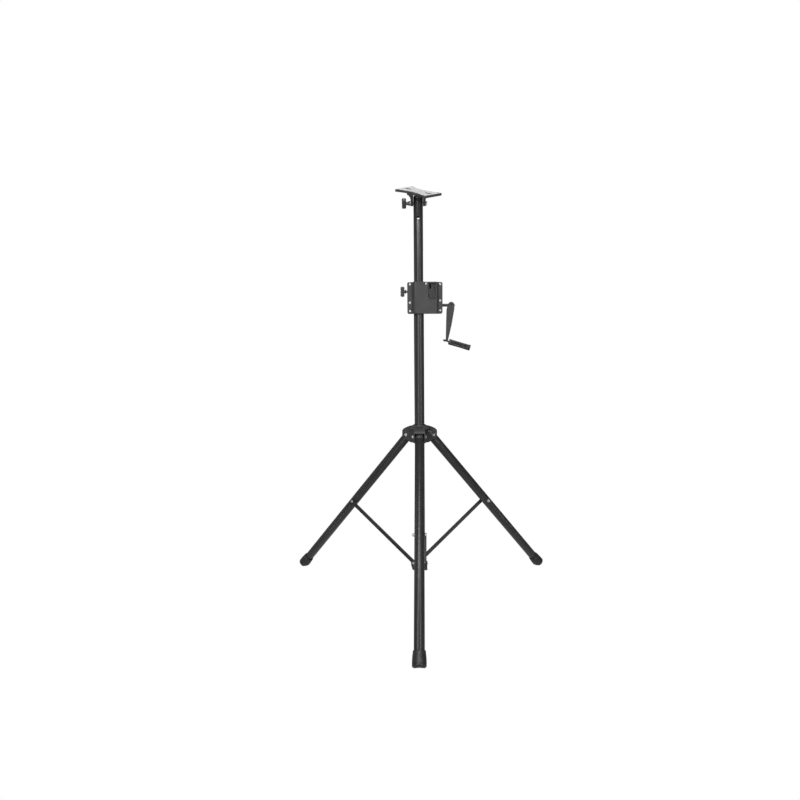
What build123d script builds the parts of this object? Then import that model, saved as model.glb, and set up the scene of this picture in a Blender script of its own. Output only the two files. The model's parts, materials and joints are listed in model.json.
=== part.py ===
from build123d import *
import math
import os

# Crank-up speaker tripod stand, in millimetres.
# Frame: the column axis is Z, the floor is z = 0, the front leg points to -Y
# and the crank is on the +X side of the winch housing.
# Each sub-part is one named node, written to parts/NODE.step.

# --- driving dimensions ---------------------------------------------------
# tubes
COLUMN_R = 19.0          # outer column tube, 38 mm
COLUMN_WALL = 1.2
COLUMN_Z = (91.5, 1118.0)
MAST_R = 17.5            # lifting mast, 35 mm
MAST_WALL = 1.5
MAST_Z = (575.0, 1516.0)
LEG_R = 17.5             # leg tube, 35 mm
LEG_WALL = 1.5
RUNNING = 0.08           # radial clearance of a pin in its hole
SLIDING = 0.3            # radial clearance of a tube or casting that slides

# tripod
LEG_AZIMUTHS = {"front": -90.5, "right": 29.5, "left": 149.5}   # as the stand is turned
HUB_PIVOT_R = 48.0       # leg pivot, distance from the column axis
HUB_PIVOT_Z = 636.0
HUB_CLAMP_Z = 650.0      # clamp screw, between the front and right arms
FOOT_R = 609.0           # centre of the foot's end, on the floor
FOOT_Z = 8.0
BRACE_ON_LEG = 404.6     # leg pivot to brace pivot, along the leg
BRACE_LOW_R = 16.0       # brace pivot on the lower collar
BRACE_LOW_Z = 122.0
LEG_ANGLE = math.degrees(math.atan2(FOOT_R - HUB_PIVOT_R, HUB_PIVOT_Z - FOOT_Z))
LEG_LENGTH = math.hypot(FOOT_R - HUB_PIVOT_R, HUB_PIVOT_Z - FOOT_Z)
LEG_SHORT = 10.0         # the tube stops this far short of the foot's end
BOOT_R = 23.0            # at the foot
BOOT_LIP_R = 20.6        # at the upper lip
BOOT_TOP = -47.0         # the lip and the sole, along the leg from its end
BOOT_SOLE = 3.0
BOLT_R = 3.0             # M6 pivot bolts
BRACE_V = 18.6           # inner face of the brace web, sideways from the leg's plane
BRACE_WIDTH = 14.0
BRACE_DEPTH = 6.0
BRACE_GAUGE = 1.5
LUG_V = (24.9, 27.9)     # collar lug, outside the brace
COLLAR_R = 24.0
COLLAR_Z = (92.0, 114.0)
GRUB_Z = 103.0           # grub screw that holds the collar
GRUB_AZIMUTH = 150.0
GRUB_R = 2.5

# hub that slides on the column
HUB_BORE_R = COLUMN_R + SLIDING
HUB_RING_R = 26.5
HUB_Z = (606.0, 677.0)
HUB_FLARE_Z = 660.0      # the flare runs from here to the hub's top
HUB_ARM_R = 67.0         # outer end of each leg channel
HUB_CHEEK = (18.6, 23.0) # inner and outer face of a cheek
HUB_KNOB_R = 39.0        # inner end of the clamp knob
HUB_CLAMP_AZIMUTH = (LEG_AZIMUTHS["front"] + LEG_AZIMUTHS["right"]) / 2

# winch housing
CASE_X = (-43.0, 89.4)
CASE_Z = (1099.5, 1215.5)
CASE_SPLIT_Y = -7.0      # joint face between the two shells
CASE_BACK_Y = 29.0
CASE_WALL = 3.0
FLANGE_T = 3.0
RAISED_X = (-23.0, 70.0)
RAISED_Y = -24.0
WINDOW_X = (36.0, 63.0)  # the lock slider's window
SHAFT_Y = 12.0           # crank shaft and worm
SHAFT_Z = 1131.0
SHAFT_R = 5.5
JOURNAL_R = 4.0
CLAMP_Z = 1181.0         # mast clamp screw
CLAMP_KNOB_X = -47.5

# drive: worm, worm wheel, sprocket and the row of slots in the mast
SLOT_PITCH = 10.0
SPROCKET_TEETH = 10
SPROCKET_R = SLOT_PITCH * SPROCKET_TEETH / (2 * math.pi)
WORM_PITCH = 5.0
WHEEL_TEETH = 20
WHEEL_R = WORM_PITCH * WHEEL_TEETH / (2 * math.pi)
WORM_PITCH_R = 7.25
AXLE_X = MAST_R + SPROCKET_R
AXLE_Z = SHAFT_Z + WORM_PITCH_R + WHEEL_R
SLOTS_UP = 17            # slots above and below the sprocket, at rest
SLOTS_DOWN = 42

# crank
ARM_TOP = (123.0, 1132.0)
ARM_WIDTH = 18.0
GRIP_SLOPE = 16.7        # the grip's pin leans outwards and down
GRIP_START = (113.0, 994.3)
GRIP_LENGTH = 86.0
GRIP_R = 11.2

# tilting head
TILT_Z = 1500.0
TILT = 23.0              # the plate leans this far towards -Y at rest
PLATE_TURN = -50.0       # the plate is turned on its yoke
PLATE_HOLES = (72.0, 35.0)
PLATE_SLOT_X = 57.0
PLATE_SLOT = (34.0, 8.0)
PLATE_END = (86.0, 46.0) # half length, half width of the ends
PLATE_WAIST = 28.0
PLATE_T = 8.5
PLATE_TOP = 44.0         # tilt axis to the plate's upper face
EAR_X = (18.0, 28.0)     # inner and outer face of a yoke ear
YOKE_T = 3.0             # the yoke's flat top
TILT_KNOB_X = -30.2


# --- small helpers --------------------------------------------------------
def rod(radius, start, end):
    """A solid cylinder from one point to another."""
    a = Vector(*start)
    b = Vector(*end)
    place = Plane(origin=a, z_dir=b - a)
    return place * Cylinder(radius, (b - a).length, align=(Align.CENTER, Align.CENTER, Align.MIN))


def ring(outer, inner, start, end):
    """A round tube from one point to another."""
    return rod(outer, start, end) - rod(inner, start, end)


def block(x, y, z):
    """A box from its lowest and highest X, Y and Z."""
    size = (x[1] - x[0], y[1] - y[0], z[1] - z[0])
    middle = ((x[0] + x[1]) / 2, (y[0] + y[1]) / 2, (z[0] + z[1]) / 2)
    return Pos(*middle) * Box(*size)


def up(radius, z):
    """A solid cylinder on the column axis."""
    return rod(radius, (0, 0, z[0]), (0, 0, z[1]))


def hex_nut(width, start, end, hole=0.0):
    """A hexagonal head or nut between two points, with an optional hole."""
    a = Vector(*start)
    b = Vector(*end)
    place = Plane(origin=a, z_dir=b - a)
    outline = RegularPolygon(width / 2, 6, major_radius=False)
    body = extrude(place * outline, (b - a).length)
    if hole:
        body -= rod(hole, start, end)
    return body


def dome_head(radius, height, start, direction):
    """A pan-headed screw's head: a low dome on a flat face."""
    a = Vector(*start)
    place = Plane(origin=a, z_dir=Vector(*direction))
    head = Cylinder(radius, height, align=(Align.CENTER, Align.CENTER, Align.MIN))
    head = fillet(head.edges().group_by(Axis.Z)[-1], height * 0.7)
    slot = Pos(0, 0, height) * (Box(radius * 1.2, 0.9, 1.2) + Box(0.9, radius * 1.2, 1.2))
    return place * (head - slot)


def side_profile(points, v):
    """Extrude an outline in the (radial, up) plane sideways from v[0] to v[1]."""
    face = Plane.XZ * make_face(Polyline(*points, close=True))
    return Pos(0, v[1], 0) * extrude(face, v[1] - v[0])


def around(part, azimuth):
    """Turn a piece built along +X to its place around the column."""
    return Rot(0, 0, azimuth) * part


def on_leg(distance, across=0.0):
    """A point on the leg's centre line in the leg's own (radial, up) plane."""
    s = math.sin(math.radians(LEG_ANGLE))
    c = math.cos(math.radians(LEG_ANGLE))
    radial = HUB_PIVOT_R + distance * s + across * c
    height = HUB_PIVOT_Z - distance * c + across * s
    return radial, height


def t_knob(length, width, thickness, neck):
    """A T-bar knob with its neck along +Z, the bar along X, standing on z = 0."""
    bar = Pos(0, 0, neck + width / 2) * Box(length, thickness, width)
    bar = fillet(bar.edges(), min(width, thickness) * 0.35)
    cone = Cone(thickness * 0.62, thickness * 0.42, neck + 2,
                align=(Align.CENTER, Align.CENTER, Align.MIN))
    return bar + cone


# --- column ---------------------------------------------------------------
def column_tube():
    tube = up(COLUMN_R, COLUMN_Z) - up(COLUMN_R - COLUMN_WALL, COLUMN_Z)
    return tube - around(rod(GRUB_R, (0, 0, GRUB_Z), (30, 0, GRUB_Z)), GRUB_AZIMUTH)


def column_end_cap():
    low = COLUMN_Z[0]
    disc = up(COLUMN_R, (low - 4.0, low))
    disc = fillet(disc.edges().group_by(Axis.Z)[0], 2.5)
    stem = ring(COLUMN_R - COLUMN_WALL, COLUMN_R - 4.0, (0, 0, low), (0, 0, low + 14.0))
    return disc + stem


def brace_collar():
    """The fixed ring near the column's foot, with a lug for each brace."""
    x, z = BRACE_LOW_R, BRACE_LOW_Z
    body = up(COLLAR_R, COLLAR_Z)
    body = chamfer(body.edges(), 1.5)
    foot = COLLAR_Z[0] + 1.5
    outline = [(4.0, foot), (20.0, foot), (x + 11, z - 8), (x + 11, z + 3), (x + 5, z + 9),
               (x - 5, z + 9), (x - 11, z + 3), (x - 12, z - 8)]
    for azimuth in LEG_AZIMUTHS.values():
        lug = side_profile(outline, LUG_V)
        lug += block((4.0, 20.0), (12.0, LUG_V[0] + 1), (foot, z - 10))
        lug -= rod(BOLT_R, (x, LUG_V[0] - 1, z), (x, LUG_V[1] + 1, z))
        body += around(lug, azimuth)
    body -= up(COLUMN_R, (COLLAR_Z[0] - 1, COLLAR_Z[1] + 1))
    return body - around(rod(GRUB_R, (0, 0, GRUB_Z), (30, 0, GRUB_Z)), GRUB_AZIMUTH)


def collar_screw():
    """A grub screw with a hexagon socket, flush with the collar."""
    end = COLLAR_R - 0.4
    screw = rod(GRUB_R, (COLUMN_R - COLUMN_WALL, 0, GRUB_Z), (end, 0, GRUB_Z))
    screw -= hex_nut(2.6, (end - 2.0, 0, GRUB_Z), (end + 1.0, 0, GRUB_Z))
    return around(screw, GRUB_AZIMUTH)


def lower_brace_bolts():
    """A flat-headed bolt, a spacer and a domed nut through each lug; a brace turns on it."""
    group = []
    x, z = BRACE_LOW_R, BRACE_LOW_Z
    head_y = BRACE_V - 0.75
    for azimuth in LEG_AZIMUTHS.values():
        bolt = rod(5.0, (x, head_y, z), (x, BRACE_V - 0.2, z))
        bolt += rod(BOLT_R, (x, head_y, z), (x, LUG_V[1] + 1.0, z))
        bolt += rod(5.0, (x, BRACE_V + BRACE_GAUGE + 0.1, z), (x, LUG_V[0], z))
        bolt += dome_head(4.8, 2.8, (x, LUG_V[1], z), (0, 1, 0))
        group.append(around(bolt, azimuth))
    return Compound(group)


# --- hub ------------------------------------------------------------------
def hub_arm():
    """One leg channel, along +X: two cheeks under a sloping roof."""
    z = HUB_PIVOT_Z
    outline = [(12.0, z - 29), (30.0, z - 29), (44.0, z - 22), (HUB_ARM_R - 4, z - 14),
               (HUB_ARM_R, z - 9), (HUB_ARM_R, z + 16), (HUB_ARM_R - 3, z + 20),
               (58.0, z + 25), (46.0, z + 31), (33.0, z + 36), (12.0, z + 39)]
    body = side_profile(outline, (-HUB_CHEEK[1], HUB_CHEEK[1]))
    body = fillet(body.edges().filter_by(Plane.XZ), 4.0)
    roof = [(20.0, z - 60), (90.0, z - 60), (90.0, z + 12), (HUB_ARM_R - 3, z + 14),
            (56.0, z + 20.5), (45.0, z + 26), (30.0, z + 27), (20.0, z + 27)]
    hollow = side_profile(roof, (-HUB_CHEEK[0], HUB_CHEEK[0]))
    return body - hollow


def hub_flare():
    """The skirt that spreads from the hub's mouth over the three arms."""
    low, high = HUB_FLARE_Z, HUB_Z[1]
    mouth, rim, hem = 23.5, 42.0, 35.0
    inside = Polyline((mouth, high), (15.0, high), (15.0, low), (rim, low), (rim, low + 4), (hem, low + 7.5))
    sweep_in = ThreePointArc((hem, low + 7.5), (27.0, low + 11.0), (mouth, high))
    return revolve(Plane.XZ * make_face([inside, sweep_in]), Axis.Z)


def hub_casting():
    z = HUB_PIVOT_Z
    body = up(HUB_RING_R, (HUB_Z[0], HUB_FLARE_Z + 1)) + hub_flare()
    boss = rod(9.0, (20.0, 0, HUB_CLAMP_Z), (37.0, 0, HUB_CLAMP_Z))
    boss = chamfer(boss.edges().group_by(Axis.X)[-1], 1.2)
    body += around(boss, HUB_CLAMP_AZIMUTH)
    for azimuth in LEG_AZIMUTHS.values():
        body += around(hub_arm(), azimuth)
    for azimuth in LEG_AZIMUTHS.values():
        swing = rod(21.0, (HUB_PIVOT_R, -HUB_CHEEK[0], z), (HUB_PIVOT_R, HUB_CHEEK[0], z))
        swing += block((HUB_PIVOT_R - 21, HUB_PIVOT_R + 21), (-HUB_CHEEK[0], HUB_CHEEK[0]), (z - 60, z))
        body -= around(swing, azimuth)
        body -= around(rod(BOLT_R, (HUB_PIVOT_R, -40, z), (HUB_PIVOT_R, 40, z)), azimuth)
    body -= up(HUB_BORE_R, (HUB_Z[0] - 1, HUB_Z[1] + 1))
    body -= Pos(0, 0, HUB_Z[1] - 3) * Cone(HUB_BORE_R, HUB_BORE_R + 2, 3.5,
                                           align=(Align.CENTER, Align.CENTER, Align.MIN))
    body -= around(rod(JOURNAL_R + RUNNING, (15.0, 0, HUB_CLAMP_Z), (50.0, 0, HUB_CLAMP_Z)),
                   HUB_CLAMP_AZIMUTH)
    return body


def hub_pivot_bolts():
    group = []
    out = HUB_CHEEK[1]
    for azimuth in LEG_AZIMUTHS.values():
        x, z = HUB_PIVOT_R, HUB_PIVOT_Z
        bolt = rod(BOLT_R, (x, -out - 5.5, z), (x, out + 0.4, z))
        bolt += dome_head(6.0, 3.2, (x, out, z), (0, 1, 0))
        group.append(around(bolt, azimuth))
    return Compound(group)


def hub_pivot_nuts():
    group = []
    out = HUB_CHEEK[1]
    for azimuth in LEG_AZIMUTHS.values():
        x, z = HUB_PIVOT_R, HUB_PIVOT_Z
        group.append(around(hex_nut(10.0, (x, -out, z), (x, -out - 5.0, z), BOLT_R), azimuth))
    return Compound(group)


def hub_knob():
    """The clamp knob between the front and right arms."""
    z = HUB_CLAMP_Z
    place = Plane(origin=(HUB_KNOB_R, 0, z), z_dir=(1, 0, 0), x_dir=(0, 1, 0))
    knob = place * t_knob(42.0, 14.0, 14.0, 13.0)
    knob -= rod(JOURNAL_R, (HUB_KNOB_R - 1, 0, z), (HUB_KNOB_R + 21, 0, z))
    return around(knob, HUB_CLAMP_AZIMUTH)


def hub_clamp_screw():
    z = HUB_CLAMP_Z
    screw = rod(JOURNAL_R, (COLUMN_R + 2.3, 0, z), (HUB_KNOB_R + 21, 0, z))
    return around(screw, HUB_CLAMP_AZIMUTH)


def hub_clamp_pad():
    """A plastic pad between the clamp screw and the column."""
    z = HUB_CLAMP_Z
    pad = rod(3.6, (COLUMN_R - 1.0, 0, z), (COLUMN_R + 2.3, 0, z)) - up(COLUMN_R + 0.35, (z - 9, z + 9))
    return around(pad, HUB_CLAMP_AZIMUTH)


# --- legs and braces ------------------------------------------------------
def leg_points(near, far):
    a = on_leg(near)
    b = on_leg(far)
    return (a[0], 0, a[1]), (b[0], 0, b[1])


def leg_tube(azimuth):
    start, end = leg_points(16.0, LEG_LENGTH - LEG_SHORT)
    tube = ring(LEG_R, LEG_R - LEG_WALL, start, end)
    x, z = on_leg(BRACE_ON_LEG)
    tube -= rod(BOLT_R, (x, -30, z), (x, 30, z))
    return around(tube, azimuth)


def leg_eye(azimuth):
    """The cast plug in the leg's top end, with the eye for the pivot bolt."""
    x, z = HUB_PIVOT_R, HUB_PIVOT_Z
    knuckle_r = LEG_R - 0.7
    above = rod(LEG_R, *leg_points(-LEG_R, 0.0))
    knuckle = above & rod(knuckle_r, (x, -LEG_R - 2, z), (x, LEG_R + 2, z))
    head = knuckle + rod(LEG_R, *leg_points(0.0, 16.0))
    stub = rod(LEG_R - LEG_WALL, *leg_points(16.0, 46.0))
    eye = rod(BOLT_R + RUNNING, (x, -30, z), (x, 30, z))
    return around(head + stub - eye, azimuth)


def leg_boot(azimuth):
    """A rubber boot over the leg's end, cut flat where it stands on the floor."""
    corner = 4.5
    outline = Polyline((0, BOOT_TOP), (BOOT_LIP_R - 1, BOOT_TOP), (BOOT_LIP_R, BOOT_TOP + 1),
                       (BOOT_R, -12.0), (BOOT_R, BOOT_SOLE - corner))
    round_sole = RadiusArc((BOOT_R, BOOT_SOLE - corner), (BOOT_R - corner, BOOT_SOLE), -corner)
    closing = Polyline((BOOT_R - corner, BOOT_SOLE), (0, BOOT_SOLE), (0, BOOT_TOP))
    start, end = leg_points(LEG_LENGTH, LEG_LENGTH + 1.0)
    place = Plane(origin=start, z_dir=Vector(*end) - Vector(*start))
    body = place * revolve(Plane.XZ * make_face([outline, round_sole, closing]), Axis.Z)
    body -= rod(LEG_R, *leg_points(LEG_LENGTH + BOOT_TOP - 1, LEG_LENGTH - LEG_SHORT))
    body -= block((FOOT_R - 90, FOOT_R + 90), (-60, 60), (-60, 0))
    return around(body, azimuth)


def leg_brace_bolt(azimuth):
    """The leg's half of the brace pivot: a bolt through the leg and its nut."""
    x, z = on_leg(BRACE_ON_LEG)
    shank = rod(BOLT_R, (x, -LEG_R - 9.0, z), (x, LEG_R - 0.1, z))
    washer = rod(6.2, (x, -LEG_R, z), (x, -LEG_R - 1.4, z))
    nut = hex_nut(10.0, (x, -LEG_R - 1.4, z), (x, -LEG_R - 6.4, z))
    return around(shank + washer + nut, azimuth)


def brace_frame():
    """Ends of a brace in the leg's (radial, up) plane."""
    top = on_leg(BRACE_ON_LEG)
    return (BRACE_LOW_R, BRACE_LOW_Z), top


def brace(azimuth):
    """A U-channel strut with rounded ends, its web facing the leg."""
    low, top = brace_frame()
    length = math.hypot(top[0] - low[0], top[1] - low[1])
    angle = math.degrees(math.atan2(top[1] - low[1], top[0] - low[0]))
    half = BRACE_WIDTH / 2
    outer = SlotCenterToCenter(length, BRACE_WIDTH)
    inner = SlotCenterToCenter(length, BRACE_WIDTH - 2 * BRACE_GAUGE)
    body = Pos(length / 2, 0, 0) * extrude(outer, BRACE_DEPTH)
    trough = Pos(length / 2, 0, BRACE_GAUGE) * extrude(inner, BRACE_DEPTH)
    body -= trough
    body -= Cylinder(BOLT_R + RUNNING, 40)
    body -= Pos(length, 0, 0) * Cylinder(BOLT_R, 40)
    for end in (0.0, length):
        outward = -half if end == 0.0 else half
        mouth = Pos(end + outward, 0, BRACE_GAUGE + BRACE_DEPTH / 2 + 0.01) * Box(
            BRACE_WIDTH, BRACE_WIDTH * 2, BRACE_DEPTH)
        body -= mouth
    place = Plane(origin=(low[0], BRACE_V, low[1]), z_dir=(0, 1, 0),
                  x_dir=(math.cos(math.radians(angle)), 0, math.sin(math.radians(angle))))
    return around(place * body, azimuth)


def brace_top_rivet(azimuth):
    """The brace's half of its upper pivot: a domed rivet in the channel."""
    x, z = on_leg(BRACE_ON_LEG)
    head = dome_head(5.2, 3.4, (x, BRACE_V + BRACE_GAUGE, z), (0, 1, 0))
    shank = rod(BOLT_R, (x, BRACE_V - 0.2, z), (x, BRACE_V + BRACE_GAUGE + 0.4, z))
    return around(head + shank, azimuth)


# --- winch housing --------------------------------------------------------
def rounded_block(x, y, z, radius):
    """A box whose corners in the XZ plane are rounded."""
    return fillet(block(x, y, z).edges().filter_by(Axis.Y), radius)


def case_back():
    """The deep rear shell, open at the front, with the shaft's supports."""
    y = (CASE_SPLIT_Y, CASE_BACK_Y)
    outer = rounded_block(CASE_X, y, CASE_Z, 6.0)
    outer = fillet(outer.edges().group_by(Axis.Y)[-1], 3.0)
    inside = rounded_block((CASE_X[0] + CASE_WALL, CASE_X[1] - CASE_WALL),
                           (CASE_SPLIT_Y - 1, CASE_BACK_Y - CASE_WALL),
                           (CASE_Z[0] + CASE_WALL, CASE_Z[1] - CASE_WALL), 4.0)
    body = outer - inside
    back = CASE_BACK_Y - CASE_WALL
    # socket for the column tube and for the mast's guide bush
    body += ring(24.0, COLUMN_R, (0, 0, CASE_Z[0]), (0, 0, COLUMN_Z[1])) & block(
        (-30, 30), (CASE_SPLIT_Y, back), CASE_Z)
    body += ring(24.0, 20.0, (0, 0, CASE_Z[1] - 15), (0, 0, CASE_Z[1])) & block(
        (-30, 30), (CASE_SPLIT_Y, back), CASE_Z)
    body -= up(COLUMN_R, (CASE_Z[0] - 1, COLUMN_Z[1]))
    body -= up(20.0, (CASE_Z[1] - 15, CASE_Z[1] + 1))
    # post for the inner end of the crank shaft
    post = block((20.6, 25.4), (3.6, back), (SHAFT_Z - 9, SHAFT_Z + 7.3))
    body += post
    body -= rod(6.5, (20.0, SHAFT_Y, SHAFT_Z), (26.0, SHAFT_Y, SHAFT_Z))
    # bosses: crank shaft at the right wall, wheel axle at the back, clamp at the left
    body += rod(11.0, (CASE_X[1] - 10, SHAFT_Y, SHAFT_Z), (CASE_X[1] - 1, SHAFT_Y, SHAFT_Z))
    body -= rod(8.0, (CASE_X[1] - 12, SHAFT_Y, SHAFT_Z), (CASE_X[1] + 1, SHAFT_Y, SHAFT_Z))
    body += rod(8.0, (AXLE_X, 18.5, AXLE_Z), (AXLE_X, back + 0.5, AXLE_Z))
    body -= rod(6.0, (AXLE_X, 18.0, AXLE_Z), (AXLE_X, back, AXLE_Z))
    clamp = rod(7.0, (CASE_X[0] + 1, 0, CLAMP_Z), (-24.0, 0, CLAMP_Z)) & block(
        CASE_X, (CASE_SPLIT_Y, back), CASE_Z)
    body += clamp
    body -= rod(JOURNAL_R + RUNNING, (CASE_X[0] - 1, 0, CLAMP_Z), (-20.0, 0, CLAMP_Z))
    for x, z in cover_screw_places():
        body += rod(4.5, (x, CASE_SPLIT_Y, z), (x, back + 0.5, z)) & block(CASE_X, y, CASE_Z)
        body -= rod(2.0, (x, CASE_SPLIT_Y - 1, z), (x, 12.0, z))
    # the two set screws that hold the column
    for x in (-9.0, 9.0):
        body -= rod(2.5, (x, 10, 1109.0), (x, CASE_BACK_Y + 2, 1109.0))
    body -= up(COLUMN_R, (CASE_Z[0] - 1, COLUMN_Z[1]))
    body -= up(20.0, (CASE_Z[1] - 15, CASE_Z[1] + 1))
    return body


def cover_screw_places():
    left, right = -33.0, 80.6
    return [(left, 1207.0), (left, 1139.0), (left, 1108.5), (28.0, 1208.5),
            (right, 1207.5), (right, 1147.0), (right, 1111.0)]


def raised_box(inset, z):
    """The cover's raised box: well rounded over the tube, nearly square over the drive."""
    x = (RAISED_X[0] + inset, RAISED_X[1] - inset)
    y = (RAISED_Y + inset, CASE_SPLIT_Y)
    outline = Pos((x[0] + x[1]) / 2, (y[0] + y[1]) / 2) * Rectangle(x[1] - x[0], y[1] - y[0])
    front = outline.vertices().group_by(Axis.Y)[0].sort_by(Axis.X)
    outline = fillet(front[0], 13.0 - inset)
    front = outline.vertices().group_by(Axis.Y)[0].sort_by(Axis.X)
    outline = fillet(front[-1], 4.0 - inset)
    return extrude(Pos(0, 0, z[0]) * outline, z[1] - z[0])


def case_cover():
    """The front cover: a flange with a raised box over the tubes and the drive."""
    flange = rounded_block(CASE_X, (CASE_SPLIT_Y - FLANGE_T, CASE_SPLIT_Y), CASE_Z, 6.0)
    flange = fillet(flange.edges().group_by(Axis.Y)[0], 1.0)
    raised = raised_box(0.0, CASE_Z)
    body = flange + raised
    inside = raised_box(CASE_WALL, (CASE_Z[0] + CASE_WALL, CASE_Z[1] - CASE_WALL))
    inside += Pos(0, 1, 0) * inside
    body -= inside
    # grooves where the raised box meets the flange
    for x, breaks in ((RAISED_X[0] - 1.5, ()), (RAISED_X[1] + 1.5, (1186.0,))):
        groove = block((x - 1.5, x + 1.5), (CASE_SPLIT_Y - FLANGE_T - 1, CASE_SPLIT_Y - 1.4),
                       (CASE_Z[0] + 5, CASE_Z[1] - 5))
        for z in breaks:
            groove -= block((x - 2, x + 2), (-20, 0), (z - 3, z + 3))
        body -= groove
    # half sockets that close around the column and the guide bush
    front = block((-26, 26), (RAISED_Y + 1, CASE_SPLIT_Y), CASE_Z)
    body += ring(24.0, COLUMN_R, (0, 0, CASE_Z[0]), (0, 0, COLUMN_Z[1])) & front & raised
    body += ring(24.0, 20.0, (0, 0, CASE_Z[1] - 15), (0, 0, CASE_Z[1])) & front & raised
    body -= up(COLUMN_R, (CASE_Z[0] - 1, COLUMN_Z[1]))
    body -= up(20.0, (CASE_Z[1] - 15, CASE_Z[1] + 1))
    # front boss for the wheel axle
    body += rod(8.0, (AXLE_X, RAISED_Y + 2.5, AXLE_Z), (AXLE_X, -6.5, AXLE_Z))
    body -= rod(6.0, (AXLE_X, RAISED_Y + 3, AXLE_Z), (AXLE_X, -6.0, AXLE_Z))
    body -= rod(7.2, (CASE_X[0] - 1, 0, CLAMP_Z), (-23.5, 0, CLAMP_Z))
    # window of the lock slider
    window = rounded_block(WINDOW_X, (RAISED_Y - 1, RAISED_Y + 4), (1150.0, 1211.0), 2.5)
    body -= window
    for x, z in cover_screw_places():
        body -= rod(2.4, (x, RAISED_Y - 1, z), (x, CASE_SPLIT_Y + 1, z))
        if RAISED_X[0] < x < RAISED_X[1]:
            body -= rod(5.0, (x, RAISED_Y - 1, z), (x, RAISED_Y + 1.4, z))
            body += ring(5.5, 2.4, (x, RAISED_Y + 1.4, z), (x, CASE_SPLIT_Y, z)) & block(
                CASE_X, (RAISED_Y, CASE_SPLIT_Y), CASE_Z)
    return body


def cover_screws():
    group = []
    for x, z in cover_screw_places():
        face = RAISED_Y + 1.4 if RAISED_X[0] < x < RAISED_X[1] else CASE_SPLIT_Y - FLANGE_T
        screw = rod(2.0, (x, face - 0.4, z), (x, 8.0, z))
        screw += dome_head(4.2, 2.4, (x, face, z), (0, -1, 0))
        group.append(screw)
    return Compound(group)


def column_set_screws():
    group = []
    for x in (-9.0, 9.0):
        seat = math.sqrt(COLUMN_R ** 2 - 9.0 ** 2)
        screw = rod(2.5, (x, seat + 2.2, 1109.0), (x, CASE_BACK_Y - 0.4, 1109.0))
        screw += dome_head(4.4, 2.4, (x, CASE_BACK_Y, 1109.0), (0, 1, 0))
        screw += rod(2.5, (x, CASE_BACK_Y - 1, 1109.0), (x, CASE_BACK_Y + 0.4, 1109.0))
        group.append(screw)
    return Compound(group)


def mast_guide_bush():
    """The plastic bush in which the mast slides out of the housing."""
    bush = ring(20.0, MAST_R + SLIDING, (0, 0, CASE_Z[1] - 15), (0, 0, CASE_Z[1]))
    lip = ring(22.5, MAST_R + SLIDING, (0, 0, CASE_Z[1]), (0, 0, CASE_Z[1] + 1.6))
    return bush + lip


def shaft_bushes():
    inner = ring(6.5, JOURNAL_R + RUNNING, (20.6, SHAFT_Y, SHAFT_Z), (25.4, SHAFT_Y, SHAFT_Z))
    outer = ring(8.0, SHAFT_R + RUNNING, (CASE_X[1] - 10, SHAFT_Y, SHAFT_Z), (CASE_X[1], SHAFT_Y, SHAFT_Z))
    return Compound([inner, outer])


def axle_bushes():
    back = CASE_BACK_Y - CASE_WALL
    rear = ring(6.0, JOURNAL_R + RUNNING, (AXLE_X, 18.5, AXLE_Z), (AXLE_X, back, AXLE_Z))
    front = ring(6.0, JOURNAL_R + RUNNING, (AXLE_X, RAISED_Y + 3, AXLE_Z), (AXLE_X, -6.5, AXLE_Z))
    return Compound([rear, front])


# --- drive ----------------------------------------------------------------
def toothed_disc(teeth, root, tip, base_width, tip_width, y):
    """A spur disc on the wheel axle; one tooth points to -X and one to -Z or near it."""
    body = rod(root, (AXLE_X, y[0], AXLE_Z), (AXLE_X, y[1], AXLE_Z))
    tooth = [(root - 1, -base_width / 2), (tip, -tip_width / 2), (tip, tip_width / 2),
             (root - 1, base_width / 2)]
    face = Plane.XZ * make_face(Polyline(*tooth, close=True))
    blank = Pos(0, y[1], 0) * extrude(face, y[1] - y[0])
    for index in range(teeth):
        body += Pos(AXLE_X, 0, AXLE_Z) * (Rot(0, 180 + index * 360 / teeth, 0) * blank)
    return body


def lift_sprocket():
    body = toothed_disc(SPROCKET_TEETH, 13.2, SPROCKET_R + 1.5, 4.6, 2.6, (-2.5, 2.5))
    body += rod(8.0, (AXLE_X, -4.0, AXLE_Z), (AXLE_X, 8.6, AXLE_Z))
    return body - rod(JOURNAL_R, (AXLE_X, -5, AXLE_Z), (AXLE_X, 10, AXLE_Z))


def worm_wheel():
    body = toothed_disc(WHEEL_TEETH, WHEEL_R - 1.6, WHEEL_R + 1.0, 2.3, 1.5, (9.0, 15.0))
    return body - rod(JOURNAL_R, (AXLE_X, 8, AXLE_Z), (AXLE_X, 16, AXLE_Z))


def wheel_axle():
    back = CASE_BACK_Y - CASE_WALL
    return rod(JOURNAL_R, (AXLE_X, RAISED_Y + 3.6, AXLE_Z), (AXLE_X, back - 0.6, AXLE_Z))


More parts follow.
